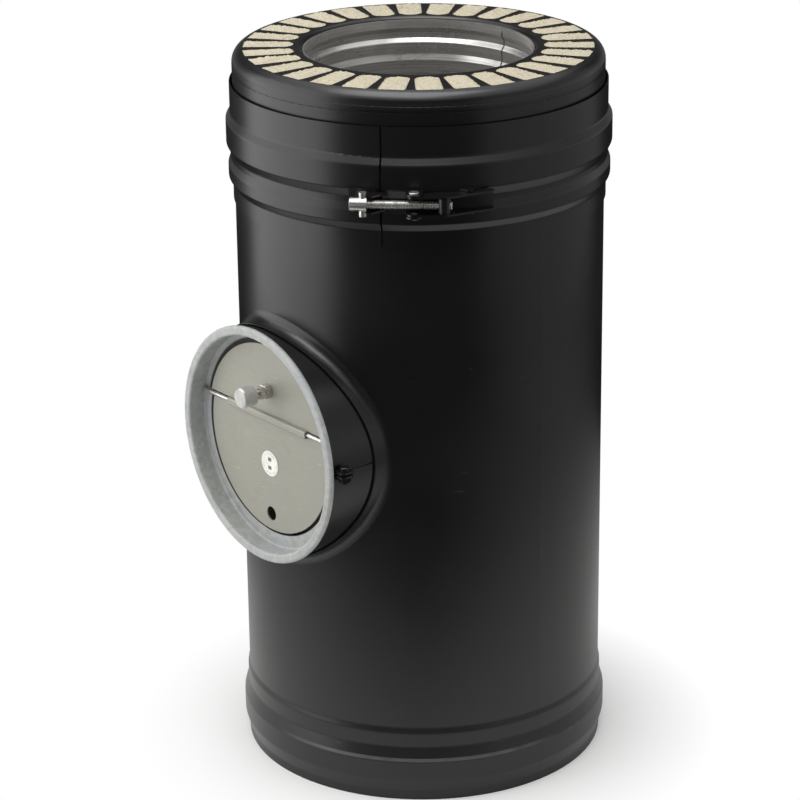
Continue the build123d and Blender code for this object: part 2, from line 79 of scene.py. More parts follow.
class StovePipeFinish(PropertyGroup):
    """Colours and gloss of the pipe's finishes."""

    paint: colour("Paint", "Satin black heat-proof paint", (0.0036, 0.0035, 0.0035))
    paint_gloss: share("Paint roughness", "How broad the paint's highlights are", 0.31)
    stainless: colour("Stainless", "Rolled stainless steel of the flue", (0.55, 0.54, 0.52))
    zinc: colour("Galvanising", "Mottled zinc of the regulator ring", (0.375, 0.385, 0.37))
    disc: colour("Disc steel", "Bare sheet of the regulator disc", (0.325, 0.318, 0.272))
    bright: colour("Bright steel", "Turned and plated small parts", (0.66, 0.65, 0.62))
    knob: colour("Knob", "Dull plating of the counterweight", (0.62, 0.60, 0.54))
    wool: colour("Wool", "Mineral wool in the slots", (0.52, 0.47, 0.36))
    wool_stain: colour("Wool stain", "Brown binder spots in the wool", (0.34, 0.24, 0.12))
    label: colour("Label", "Plain round sticker", (0.78, 0.77, 0.72))


class StovePipeWool(PropertyGroup):
    """Sizes of the mineral wool pads in the top ring's slots."""

    count: IntProperty(name="Pads", description="One pad in each slot", default=30, min=3)
    level: size("Level", "Height of the top ring's face", 500 * MM)
    outer: size("Outer end", "Radius of a pad's outer end", 117.3 * MM)
    spring: size("Spring line", "Radius where the arched inner end starts", 88.4 * MM)
    crown: size("Arch crown", "Radius of the arched inner end's crown", 83.8 * MM)
    outer_web: size("Outer web", "Steel between two slots at their outer ends", 6.6 * MM)
    inner_web: size("Inner web", "Steel between two slots at their inner ends", 2.6 * MM)
    depth: size("Depth", "How deep a pad is modelled", 6 * MM)
    bulge: size("Bulge", "How far a pad's middle stands over its rim", 1.0 * MM)
    tufts: size("Tufts", "Height of the tufts on a pad", 0.42 * MM)


class StovePipeLock(PropertyGroup):
    """Sizes of the band's tension screw, in the lock's own frame."""

    turn: angle("Lock place", "Angle of the lock round the pipe, from +X", -44.1)
    height: size("Lock height", "Height of the lock's middle", 430.2 * MM)
    axis: size("Screw axis", "Distance of the screw from the pipe's axis", 137.15 * MM)
    head: size("Head seat", "Where the head meets the tee bar, along the band", -27.55 * MM)
    tip: size("Screw tip", "Where the screw ends, along the band", 32 * MM)
    radius: size("Screw radius", "Outer radius of the thread", 3 * MM)
    pitch: size("Screw pitch", "Distance between the thread's turns", 1.0 * MM)
    head_radius: size("Head radius", "Radius of the screw's round head", 4.4 * MM)
    head_length: size("Head length", "Length of the screw's round head", 6 * MM)
    socket: size("Hex socket", "Width across the flats of the head's socket", 5 * MM)
    socket_depth: size("Socket depth", "Depth of the head's socket", 3.2 * MM)


class StovePipeStud(PropertyGroup):
    """Sizes of the counterweight's stud and nuts, from the disc's front face outwards."""

    reach: size("Front face", "Distance of the stud's seat in front of the pipe's axis", 132.3 * MM)
    height: size("Stud height", "Height of the stud's seat", 285.5 * MM)
    radius: size("Stud radius", "Outer radius of the thread", 2.5 * MM)
    pitch: size("Stud pitch", "Distance between the thread's turns", 0.8 * MM)
    back: size("Back end", "How far the stud reaches behind the seat", 5.4 * MM)
    front: size("Front end", "How far the stud reaches in front of the seat", 18.4 * MM)
    sheet: size("Disc sheet", "Thickness of the disc's sheet", 1.0 * MM)
    base_flats: size("Base nut", "Width across flats of the nuts at the disc", 9 * MM)
    base_length: size("Base nut length", "Length of the nut in front of the disc", 4.7 * MM)
    lock_flats: size("Lock nut", "Width across flats of the lock nut", 8 * MM)
    lock_length: size("Lock nut length", "Length of the lock nut", 4.3 * MM)
    back_length: size("Back nut length", "Length of the nut behind the disc", 3.2 * MM)
    label_height: size("Label height", "Height of the round label's middle", 233 * MM)
    seat_gap: size("Seat gap", "Gap between seated pieces", 0.05 * MM)


class StovePipeSeat(PropertyGroup):
    """Sizes of the regulator ring's seat."""

    middle: size("Ring middle", "Height of the regulator's middle", 249 * MM)
    axle: size("Axle", "Height of the disc's axle", 266.5 * MM)
    seat: size("Seat", "Distance of the seat flange in front of the pipe's axis", 131 * MM)
    port: size("Port", "Radius of the port in the seat flange", 66 * MM)


class StovePipeSeam(PropertyGroup):
    """Sizes of the liner's weld seam and of the top ring's joint."""

    place: angle("Seam place", "Angle of the seam round the liner, from +X", 92.4)
    width: size("Seam width", "Width of the weld", 1.6 * MM)
    rise: size("Seam rise", "How far the weld stands into the flue", 0.22 * MM)
    flue: size("Flue", "Inner radius of the liner", 75 * MM)
    stop_bead: size("Stop bead", "Inner radius of the liner's lower bead", 78 * MM)
    socket: size("Socket", "Inner radius of the liner's upper socket", 76.6 * MM)
    seal_bead: size("Seal bead", "Inner radius of the socket's bead", 78.8 * MM)
    joint_low: size("Joint foot", "Height where the paint-filled joint of the top ring starts", 486 * MM)
    joint_high: size("Joint head", "Height where the paint-filled joint of the top ring ends", 490.6 * MM)
    joint_radius: size("Joint radius", "Radius of the paint-filled joint", 125.03 * MM)


class StovePipeFoot(PropertyGroup):
    """Place of the pale strip on the foot's bead: rubbed paint with a painted highlight."""

    # The pale strip is partly rubbed paint and partly a painted highlight.
    edge: size("Edge height", "Height of the bead's rubbed edge", 31.2 * MM)
    rub_and_highlight_width: size("Rub width", "Height of the rubbed strip", 1.8 * MM)
    turn: angle("Rub place", "Angle of the rubbed stretch's middle round the pipe, from +X", -42.0)


class StovePipeStage(PropertyGroup):
    """Camera and lights."""

    azimuth: angle("Camera azimuth", "Turn of the camera round the pipe from the regulator's front", 50.6)
    distance: size("Camera distance", "Distance from the pipe's axis, on plan", 1.96192)
    height: size("Camera height", "Height over the floor", 0.99261)
    pitch: angle("Pitch", "How far the camera looks down", 20.836)
    roll: angle("Roll", "Turn about the line of sight", -0.666)
    yaw: angle("Yaw", "Turn away from the pipe's axis", -0.438)
    lens: FloatProperty(name="Lens", description="Focal length in millimetres", default=135.464)
    floor: colour("Floor", "Plain pale floor", (0.82, 0.82, 0.81))
    floor_reach: size("Floor patch", "Radius at which the pale floor has faded out in the gloss", 0.50)
    ambient: FloatProperty(name="Ambient", description="Even light from all round", default=0.46)
    key: FloatProperty(name="Key light", description="Power of the large light on the left", default=6.8)
    fill: FloatProperty(name="Fill light", description="Power of the light on the right", default=1.9)
    top: FloatProperty(name="Top light", description="Power of the light overhead", default=20.0)


def finishes():
    """The colours and gloss that a user may change."""
    return bpy.context.scene.stove_pipe_finish


def add(tree, kind, inputs=None, **settings):
    """Adds a node, sets it up and fills its inputs with numbers or with other nodes' outputs."""
    node = tree.nodes.new("ShaderNode" + kind)
    for key, value in settings.items():
        setattr(node, key, value)
    for key, value in (inputs or {}).items():
        if isinstance(value, bpy.types.NodeSocket):
            tree.links.new(value, node.inputs[key])
        else:
            node.inputs[key].default_value = value
    return node


def object_place(tree, stretch=(1, 1, 1), turn=(0, 0, 0)):
    """Object coordinates, stretched to draw a pattern out along an axis."""
    place = add(tree, "TexCoord").outputs["Object"]
    return add(tree, "Mapping", {"Vector": place, "Scale": stretch, "Rotation": turn}).outputs["Vector"]


def noise(tree, place, scale, detail=3.0, roughness=0.55, distortion=0.0):
    """Cloudy noise, from 0 to 1."""
    values = {"Scale": scale, "Detail": detail, "Roughness": roughness, "Distortion": distortion}
    return add(tree, "TexNoise", {"Vector": place, **values}).outputs["Fac"]


def spread(tree, value, low, high, to_low=0.0, to_high=1.0):
    """Maps a value from one range to another, held at the ends."""
    inputs = {"Value": value, "From Min": low, "From Max": high, "To Min": to_low, "To Max": to_high}
    return add(tree, "MapRange", inputs).outputs["Result"]


def mixed(tree, factor, first, second):
    """A colour between two others."""
    node = tree.nodes.new("ShaderNodeMix")
    node.data_type = "RGBA"
    tree.links.new(factor, node.inputs["Factor"])
    for name, value in (("A", first), ("B", second)):
        socket = [s for s in node.inputs if s.name == name and s.type == "RGBA"][0]
        if isinstance(value, bpy.types.NodeSocket):
            tree.links.new(value, socket)
        else:
            socket.default_value = (*value[:3], 1.0)
    return [s for s in node.outputs if s.type == "RGBA"][0]


def times(tree, first, second, operation="MULTIPLY"):
    """The product of two values, or what another operation makes of them."""
    node = add(tree, "Math", operation=operation)
    for socket, value in zip(node.inputs, (first, second)):
        if isinstance(value, bpy.types.NodeSocket):
            tree.links.new(value, socket)
        else:
            socket.default_value = value
    return node.outputs[0]


def absolute(tree, value):
    """A value without its sign."""
    return times(tree, value, 0.0, "ABSOLUTE")


def vector(tree, operation, first, second=(0, 0, 0)):
    """The result of a sum or product of vectors, or of a vector's length."""
    node = add(tree, "VectorMath", {0: first, 1: second}, operation=operation)
    return node.outputs["Value" if operation in ("LENGTH", "DOT_PRODUCT") else "Vector"]


def from_middle(tree, place, height):
    """Place in the disc's plane, from a middle at a given height, and the distance from that middle."""
    flat = vector(tree, "MULTIPLY", vector(tree, "SUBTRACT", place, (0, 0, height)), (1, 0, 1))
    return flat, vector(tree, "LENGTH", flat)


def scaled(tint, factor):
    """A colour made darker or lighter."""
    return tuple(min(1.0, c * factor) for c in tint)


def new_material(name):
    """An empty material with its shader; returns the material, its node tree and the shader."""
    material = bpy.data.materials.new(name)
    material.use_nodes = True
    tree = material.node_tree
    shader = next(n for n in tree.nodes if n.type == "BSDF_PRINCIPLED")
    return material, tree, shader


def wire(tree, shader, tint, rough, height, strength, depth):
    """Links colour, roughness and bump to the shader."""
    bump = add(tree, "Bump", {"Height": height, "Strength": strength, "Distance": depth})
    tree.links.new(tint, shader.inputs["Base Color"])
    tree.links.new(rough, shader.inputs["Roughness"])
    tree.links.new(bump.outputs["Normal"], shader.inputs["Normal"])


def paint_material():
    """Satin black paint: faint orange peel, slow change of gloss and a few grey scuffs."""
    material, tree, shader = new_material("satin_black_paint")
    tint = finishes().paint
    place = object_place(tree)
    slow = noise(tree, place, 9.0, 2.0)
    peel = noise(tree, place, 900.0, 2.0)
    scuff_place = object_place(tree, (1.0, 1.0, 7.0), (0.4, 0.2, 0.0))
    scuff = spread(tree, noise(tree, scuff_place, 60.0, 4.0, 0.6, 0.4), 0.70, 0.76)
    base = mixed(tree, spread(tree, slow, 0.35, 0.65), scaled(tint, 0.85), scaled(tint, 1.25))
    worn = mixed(tree, times(tree, scuff, 0.5), base, (0.06, 0.06, 0.058))
    # Pale strip on the foot's bead: rubbed paint with a painted highlight.
    worn = mixed(tree, times(tree, bead_rub_and_highlight(tree), 0.9), worn, (0.085, 0.085, 0.088))
    gloss = finishes().paint_gloss
    rough = spread(tree, slow, 0.3, 0.7, gloss - 0.03, gloss + 0.05)
    shader.inputs["Specular IOR Level"].default_value = 0.6
    wire(tree, shader, worn, rough, peel, 0.10, 0.00012)
    return material


def bead_rub_and_highlight(tree):
    """1 along the upper edge of the foot's bead below the lock: a pale strip of rubbed paint and painted
    highlight, kept to the front stretch round the foot's turn.
    """
    foot = bpy.context.scene.stove_pipe_foot
    place = add(tree, "TexCoord").outputs["Object"]
    axes = add(tree, "SeparateXYZ", {0: place})
    up = times(tree, axes.outputs["Z"], foot.edge, "SUBTRACT")
    near = spread(tree, absolute(tree, up), foot.rub_and_highlight_width / 2, foot.rub_and_highlight_width / 2 + 0.5 * MM, 1.0, 0.0)
    front = vector(tree, "DOT_PRODUCT", place, (math.cos(foot.turn), math.sin(foot.turn), 0))
    patchy = spread(tree, noise(tree, place, 45.0, 3.0), 0.32, 0.5, 0.55, 1.0)
    return times(tree, times(tree, near, patchy), spread(tree, front, 0.085, 0.115))


def stainless_material():
    """Rolled stainless: fine rings round the pipe, slow heat tint and smudges."""
    material, tree, shader = new_material("rolled_stainless")
    tint = finishes().stainless
    rings = noise(tree, object_place(tree, (0.6, 0.6, 60.0)), 22.0, 4.0)
    smudge = noise(tree, object_place(tree), 26.0, 4.0, 0.6, 0.5)
    base = mixed(tree, spread(tree, rings, 0.3, 0.7), scaled(tint, 0.85), scaled(tint, 1.35))
    dull = mixed(tree, spread(tree, smudge, 0.52, 0.75, 0, 0.45), base, scaled(tint, 0.5))
    shader.inputs["Metallic"].default_value = 0.85
    wire(tree, shader, dull, spread(tree, smudge, 0.3, 0.7, 0.24, 0.38), rings, 0.14, 0.0001)
    return material


def shaded_sleeve_material():
    """Sheet of the branch sleeve darkened almost to black as painted shade: dull, with paler patches."""
    material, tree, shader = new_material("shaded_sleeve_sheet")
    patch = noise(tree, object_place(tree), 40.0, 4.0, 0.6, 0.5)
    # Painted shade: near-black sheet with paler patches.
    base = mixed(tree, spread(tree, patch, 0.4, 0.75), (0.020, 0.018, 0.016), (0.10, 0.095, 0.085))
    wire(tree, shader, base, spread(tree, patch, 0.3, 0.7, 0.7, 0.9), patch, 0.1, 0.0001)
    return material


def seam_material():
    """Weld of the liner: dark heat tint with brighter ripples."""
    material, tree, shader = new_material("dark_weld")
    ripple = noise(tree, object_place(tree, (1.0, 1.0, 6.0)), 240.0, 2.0)
    base = mixed(tree, spread(tree, ripple, 0.4, 0.7), (0.07, 0.066, 0.062), (0.18, 0.17, 0.155))
    shader.inputs["Metallic"].default_value = 0.4
    wire(tree, shader, base, spread(tree, ripple, 0.3, 0.7, 0.4, 0.6), ripple, 0.1, 0.0001)
    return material


def zinc_material():
    """Galvanised sheet: flakes of slightly different grey, cloudy patches and a soft gloss."""
    material, tree, shader = new_material("mottled_zinc")
    tint = finishes().zinc
    place = object_place(tree)
    flakes = add(tree, "TexVoronoi", {"Vector": place, "Scale": 320.0}).outputs["Color"]
    grain = noise(tree, place, 150.0, 4.0, 0.65)
    cloud = noise(tree, place, 30.0, 3.0)
    flake_level = add(tree, "SeparateColor", {"Color": flakes}).outputs[0]
    base = mixed(tree, flake_level, scaled(tint, 0.84), scaled(tint, 1.08))
    base = mixed(tree, spread(tree, grain, 0.35, 0.7, 0.0, 0.45), base, scaled(tint, 1.14))
    base = mixed(tree, spread(tree, cloud, 0.45, 0.7, 0.0, 0.45), base, (0.34, 0.37, 0.40))
    # Painted shade: near black on the seat behind the disc's upper half and along the port's edge.
    base = mixed(tree, times(tree, seat_shade(tree), 0.97), base, (0.010, 0.010, 0.009))
    shader.inputs["Metallic"].default_value = 0.14
    shader.inputs["Specular IOR Level"].default_value = 0.35
    wire(tree, shader, base, spread(tree, grain, 0.3, 0.7, 0.54, 0.68), grain, 0.12, 0.0001)
    return material


def seat_shade(tree):
    """1 where shade is painted in the ring: on the seat behind the disc's upper half and along the port's
    edge, wider towards the left.
    """
    sizes = bpy.context.scene.stove_pipe_seat
    place = add(tree, "TexCoord").outputs["Object"]
    axes = add(tree, "SeparateXYZ", {0: place})
    _, out = from_middle(tree, place, sizes.middle)
    behind = spread(tree, axes.outputs["Y"], -sizes.seat - 1.2 * MM, -sizes.seat - 0.8 * MM)
    upper = spread(tree, axes.outputs["Z"], sizes.axle + 1 * MM, sizes.axle + 2 * MM)
    upper = times(tree, upper, spread(tree, out, sizes.port + 5.0 * MM, sizes.port + 6.5 * MM, 1.0, 0.0))
    left = spread(tree, axes.outputs["X"], -60 * MM, -10 * MM, 2.0 * MM, 0.0)
    edge = spread(tree, times(tree, out, left, "SUBTRACT"), sizes.port, sizes.port + 0.4 * MM, 1.0, 0.0)
    return times(tree, behind, times(tree, upper, edge, "MAXIMUM"))


def disc_material():
    """Bare sheet steel: rolled grain along the axle, faint smears and thin bright scratches."""
    material, tree, shader = new_material("disc_sheet_steel")
    tint = finishes().disc
    grain = noise(tree, object_place(tree, (6.0, 1.0, 90.0)), 9.0, 4.0)
    smear = noise(tree, object_place(tree), 38.0, 4.0, 0.6, 0.6)
    base = mixed(tree, spread(tree, grain, 0.3, 0.7), scaled(tint, 0.975), scaled(tint, 1.02))
    base = mixed(tree, spread(tree, smear, 0.55, 0.8, 0.0, 0.35), base, scaled(tint, 0.78))
    for turn, cut in ((0.7, 0.735), (-0.5, 0.74), (2.2, 0.745)):
        lines = noise(tree, object_place(tree, (9.0, 9.0, 240.0), (0.0, turn, 0.0)), 7.0, 3.0, 0.5)
        marks = noise(tree, object_place(tree, (1, 1, 1), (0.0, turn, 0.0)), 55.0, 2.0)
        mark = times(tree, spread(tree, lines, cut - 0.06, cut), spread(tree, marks, 0.5, 0.62))
        base = mixed(tree, times(tree, mark, 0.55), base, (0.72, 0.71, 0.66))
    shader.inputs["Metallic"].default_value = 0.3
    wire(tree, shader, base, spread(tree, smear, 0.3, 0.7, 0.46, 0.56), grain, 0.04, 0.0001)
    return material


def bright_material():
    """Plated small parts: clean metal with slight clouding and fine turning marks."""
    material, tree, shader = new_material("bright_plated_steel")
    tint = finishes().bright
    cloud = noise(tree, object_place(tree), 220.0, 4.0)
    base = mixed(tree, spread(tree, cloud, 0.35, 0.7), scaled(tint, 1.1), scaled(tint, 0.72))
    shader.inputs["Metallic"].default_value = 0.9
    wire(tree, shader, base, spread(tree, cloud, 0.3, 0.7, 0.20, 0.38), cloud, 0.08, 0.00008)
    return material


def knob_material():
    """Dull plated knob: pale with a cool cloud and small worn spots."""
    material, tree, shader = new_material("dull_plated_knob")
    tint = finishes().knob
    cloud = noise(tree, object_place(tree), 160.0, 4.0)
    spots = noise(tree, object_place(tree), 520.0, 3.0)
    base = mixed(tree, spread(tree, cloud, 0.35, 0.7), scaled(tint, 1.05), (0.46, 0.49, 0.52))
    base = mixed(tree, spread(tree, spots, 0.62, 0.72, 0.0, 0.5), base, scaled(tint, 0.6))
    shader.inputs["Metallic"].default_value = 0.7
    wire(tree, shader, base, spread(tree, cloud, 0.3, 0.7, 0.30, 0.42), spots, 0.06, 0.00008)
    return material


def wool_material():
    """Mineral wool: short crossing fibres, painted shade in the pits between tufts and brown binder spots."""
    material, tree, shader = new_material("mineral_wool")
    tint = finishes().wool
    first = noise(tree, object_place(tree, (1.0, 3.2, 1.0), (0.0, 0.0, 0.5)), 420.0, 4.0, 0.65, 1.4)
    second = noise(tree, object_place(tree, (3.2, 1.0, 1.0), (0.0, 0.0, -0.3)), 420.0, 4.0, 0.65, 1.4)
    fibres = times(tree, first, second, "MAXIMUM")
    tuft = noise(tree, object_place(tree), 95.0, 3.0)
    patch = noise(tree, object_place(tree), 26.0, 2.0)
    spots = noise(tree, object_place(tree), 62.0, 3.0, 0.6, 0.4)
    # Painted shade: the fibres run darker where they sink into pits between tufts.
    base = mixed(tree, spread(tree, fibres, 0.42, 0.72), scaled(tint, 0.88), scaled(tint, 1.10))
    base = mixed(tree, spread(tree, patch, 0.4, 0.65, 0.0, 0.5), base, scaled(tint, 1.08))
    base = mixed(tree, spread(tree, spots, 0.63, 0.74, 0.0, 0.75), base, finishes().wool_stain)
    height = times(tree, fibres, times(tree, tuft, 0.8), "ADD")
    shader.inputs["Specular IOR Level"].default_value = 0.12
    wire(tree, shader, base, spread(tree, fibres, 0.3, 0.7, 0.85, 0.98), height, 0.4, 0.0005)
    return material


def label_material():
    """Plain white paper sticker, a little yellowed, with a printed ring and two short bars."""
    material, tree, shader = new_material("plain_sticker")
    tint = finishes().label
    stud = bpy.context.scene.stove_pipe_stud
    grain = noise(tree, object_place(tree), 700.0, 3.0)
    cloud = noise(tree, object_place(tree), 120.0, 2.0)
    base = mixed(tree, spread(tree, cloud, 0.35, 0.65), tint, scaled(tint, 0.9))
    place = add(tree, "TexCoord").outputs["Object"]
    flat, out = from_middle(tree, place, stud.label_height)
    ring = times(tree, spread(tree, out, 6.2 * MM, 6.5 * MM), spread(tree, out, 7.8 * MM, 8.1 * MM, 1.0, 0.0))
    dots = spread(tree, noise(tree, place, 900.0, 1.0), 0.48, 0.56)
    base = mixed(tree, times(tree, times(tree, ring, dots), 0.45), base, (0.25, 0.25, 0.24))
    axes = add(tree, "SeparateXYZ", {0: flat})
    narrow = spread(tree, absolute(tree, axes.outputs["X"]), 1.7 * MM, 1.9 * MM, 1.0, 0.0)
    from_bar = times(tree, absolute(tree, axes.outputs["Z"]), 3.0 * MM, "SUBTRACT")
    bars = times(tree, narrow, spread(tree, absolute(tree, from_bar), 1.2 * MM, 1.4 * MM, 1.0, 0.0))
    base = mixed(tree, times(tree, bars, 0.85), base, (0.05, 0.05, 0.05))
    wire(tree, shader, base, spread(tree, grain, 0.3, 0.7, 0.45, 0.6), grain, 0.06, 0.00005)
    return material


def material_for(make, cache={}):
    """Each finish is made once and shared by its pieces."""
    if make not in cache:
        cache[make] = make()
    return cache[make]


def dress(make, *names):
    """Gives carried-over nodes their finish."""
    for name in names:
        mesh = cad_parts[name].data
        mesh.materials.clear()
        mesh.materials.append(material_for(make))


def sheet_faces(copies, rows, columns):
    """Quads of a grid that closes on itself across its columns, for each of several copies."""
    row, column = np.meshgrid(np.arange(rows - 1), np.arange(columns), indexing="ij")
    here = row * columns + column
    after = row * columns + (column + 1) % columns
    quads = np.stack([here, after, after + columns, here + columns], -1).reshape(-1, 4)
    return (np.arange(copies)[:, None, None] * rows * columns + quads).reshape(-1, 4)


def skin(name, points, make, body, replaces=()):
    """Makes a piece from points shaped (copies, rows, columns, 3); poles are rows of equal points."""
    copies, rows, columns, _ = points.shape
    mesh = bpy.data.meshes.new(name)
    mesh.from_pydata(points.reshape(-1, 3).tolist(), [], sheet_faces(copies, rows, columns).tolist())
    piece = bpy.data.objects.new(name, mesh)
    bpy.context.scene.collection.objects.link(piece)
    tidy_mesh(mesh)
    mesh.polygons.foreach_set("use_smooth", np.full(len(mesh.polygons), True))
    mesh.materials.append(material_for(make))
    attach(piece, body)
    if replaces:
        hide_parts(*replaces)
    return piece


def tidy_mesh(mesh):
    """Merges the poles' doubles and turns the faces outwards."""
    work = bmesh.new()
    work.from_mesh(mesh)
    bmesh.ops.remove_doubles(work, verts=work.verts, dist=1e-7)
    bmesh.ops.dissolve_degenerate(work, edges=work.edges, dist=1e-8)
    bmesh.ops.recalc_face_normals(work, faces=work.faces)
    work.to_mesh(mesh)
    work.free()


def sharpen(piece, degrees):
    """Keeps corners crisp on a smooth-shaded piece."""
    with bpy.context.temp_override(object=piece, active_object=piece, selected_editable_objects=[piece]):
        bpy.ops.object.shade_smooth_by_angle(angle=math.radians(degrees))


def waves(x, y, scale, seed, count=48):
    """Smooth noise of unit size: a sum of sine waves in seeded random directions, near one length."""
    draw = np.random.default_rng(seed)
    way = draw.uniform(0, 2 * np.pi, count)
    pace = 2 * np.pi / (scale * draw.uniform(0.6, 1.6, count))
    start = draw.uniform(0, 2 * np.pi, count)
    phase = x[..., None] * np.cos(way) * pace + y[..., None] * np.sin(way) * pace + start
    return np.sin(phase).sum(-1) / np.sqrt(count / 2)


def slot_outline(wool, samples):
    """A slot's outline as radius and side points: an arch at the inner end, straight flanks and a square
    outer end, walked at an even pace and softened at the corners."""
    half = np.pi / wool.count
    outer_half = wool.outer * np.sin(half) - wool.outer_web / 2
    spring_half = wool.spring * np.sin(half) - wool.inner_web / 2
    sweep = np.linspace(-np.pi / 2, np.pi / 2, 25)
    rise = wool.spring - wool.crown
    arch = np.stack([wool.spring - rise * np.cos(sweep), spring_half * np.sin(sweep)], -1)
    end = np.array([[wool.outer, outer_half], [wool.outer, -outer_half], arch[0]])
    path = np.concatenate([arch, end])
    walked = np.concatenate([[0], np.cumsum(np.hypot(*np.diff(path, axis=0).T))])
    even = np.linspace(0, walked[-1], samples, endpoint=False)
    line = np.stack([np.interp(even, walked, path[:, k]) for k in (0, 1)], -1)
    return (np.roll(line, 1, 0) + 2 * line + np.roll(line, -1, 0)) / 4


def wool_points(wool, columns=96):
    """Pads of wool: each is its slot's outline drawn in to the pad's middle in rings, raised by a flat
    crown 1 - ring^3 and by tufts of wave noise, and closed below at an even depth."""
    rings = np.concatenate([np.linspace(0.0, 0.9, 19), [0.96, 0.99, 1.0, 1.0, 0.0]])
    line = slot_outline(wool, columns)
    middle = np.array([(wool.outer + wool.crown) / 2, 0.0])
    turn = np.arange(wool.count) * 2 * np.pi / wool.count
    flat = middle + rings[:, None, None] * (line - middle)
    x = np.cos(turn)[:, None, None] * flat[..., 0] - np.sin(turn)[:, None, None] * flat[..., 1]
    y = np.sin(turn)[:, None, None] * flat[..., 0] + np.cos(turn)[:, None, None] * flat[..., 1]
    crown = wool.bulge * (1 - rings**3)[:, None] * (0.55 + 0.45 * waves(x, y, 40 * MM, 3, 24))
    tufts = wool.tufts * (0.6 * waves(x, y, 5 * MM, 5) + 0.4 * waves(x, y, 1.9 * MM, 7))
    edge = np.clip(1.0 - rings, 0, 0.1)[:, None] * 10
    z = wool.level - 0.6 * MM + crown + tufts * (0.35 + 0.65 * edge)
    z[:, -2:, :] = wool.level - wool.depth
    return np.stack([x, y, z], -1)


def lathe(axial, radial, columns, turn_shape=None):
    """Place along the axis, radius and angles of a turned surface, row by row, carried round in columns.
    turn_shape gives a row's radius as a function of the angle instead."""
    around = np.arange(columns) * 2 * np.pi / columns
    radius = np.repeat(np.asarray(radial, float)[:, None], columns, 1)
    for row, shape in (turn_shape or {}).items():
        radius[row] = shape(around)
    along = np.repeat(np.asarray(axial, float)[:, None], columns, 1)
    return along, radius, around


def place_turned(along, radius, around, origin, axis, first, second):
    """Puts a turned surface in the frame: along its axis, with the radius on two cross directions."""
    vectors = [np.array(v, float) for v in (axis, first, second)]
    parts = (along, radius * np.cos(around), radius * np.sin(around))
    return np.array(origin, float) + sum(p[..., None] * v for p, v in zip(parts, vectors))


def hex_radius(flats, around):
    """Distance from the middle of a hexagon to its side, corners at multiples of 60 degrees."""
    return flats / 2 / np.cos(np.mod(around, np.pi / 3) - np.pi / 6)


def threaded(start, end, radius, pitch, columns, steps=10):
    """Rows of a V thread: the radius falls from crest to root and back once a pitch, turning as it goes."""
    depth = 0.61 * pitch
    rows = int(round((end - start) / pitch * steps))
    along = np.linspace(start, end, rows + 1)[:, None]
    around = np.arange(columns) * 2 * np.pi / columns
    phase = np.mod(along / pitch - around / (2 * np.pi), 1.0)
    flank = np.clip(np.abs(2 * phase - 1) * 1.25 - 0.125, 0, 1)
    run_out = np.clip(np.minimum(along - start, end - along) / pitch, 0, 1)
    cone = np.clip((end - along) / (0.6 * pitch), 0, 1)
    grooved = radius - depth * flank * run_out
    return along + 0 * around, np.minimum(grooved, radius - 0.7 * depth * (1 - cone)), around


def screw_points(lock):
    """The tension screw: a cap head with a hexagon socket and a threaded shank, along the band's tangent."""
    columns = 48
    low = lock.head - lock.head_length
    rim = 0.12 * lock.head_radius
    floor = low + lock.socket_depth
    side = lock.head_radius
    axial = [floor, floor, low + 0.1 * rim, low, low, low + 0.3 * rim, low + rim, lock.head, lock.head]
    radial = [0, 0, 0, 0, side - rim, side - 0.3 * rim, side, side, lock.radius]

    def hexagon(around):
        return hex_radius(lock.socket, around)

    def hexagon_mouth(around):
        return hexagon(around) + 0.15 * rim

    shapes = {1: hexagon, 2: hexagon, 3: hexagon_mouth}
    head = lathe(axial, radial, columns, shapes)
    shank = threaded(lock.head, lock.tip, lock.radius, lock.pitch, columns)
    along = np.concatenate([head[0], shank[0], shank[0][-1:]])
    radius = np.concatenate([head[1], shank[1], np.zeros((1, columns))])
    outward = (math.cos(lock.turn), math.sin(lock.turn), 0)
    tangent = (-math.sin(lock.turn), math.cos(lock.turn), 0)
    origin = (outward[0] * lock.axis, outward[1] * lock.axis, lock.height)
    return place_turned(along, radius, head[2], origin, tangent, outward, (0, 0, 1))[None]


def stud_frame(stud):
    """Seat of the counterweight's stud, its outward axis and two cross directions."""
    return (0, -stud.reach, stud.height), (0, -1, 0), (1, 0, 0), (0, 0, 1)


def stud_points(stud):
    """The counterweight's stud: a threaded rod with its ends closed."""
    along, radius, around = threaded(-stud.back, stud.front, stud.radius, stud.pitch, 40)
    along = np.concatenate([along[:1], along, along[-1:]])
    radius = np.concatenate([radius[:1] * 0, radius, radius[-1:] * 0])
    return place_turned(along, radius, around, *stud_frame(stud))[None]


def nut_points(stud, start, length, flats):
    """A hexagon nut: rings from its bore out to its sides, the corners falling off at 30 degrees."""
    columns = 96
    around = np.arange(columns) * 2 * np.pi / columns
    side = hex_radius(flats, around)
    bore = stud.radius + stud.seat_gap
    round_edge = flats / 2 * 0.97
    share_out = np.array([0.0, 0.35, 0.7, 0.85, 1.0])[:, None]
    reach = bore + (side - bore) * share_out
    drop = np.clip(reach - round_edge, 0, None) * math.tan(math.radians(30))
    top = start + length - drop
    bottom = start + drop
    along = np.concatenate([bottom, top[::-1], bottom[:1]])
    radius = np.concatenate([reach, reach[::-1], reach[:1]])
    return place_turned(along, radius, around, *stud_frame(stud))[None]


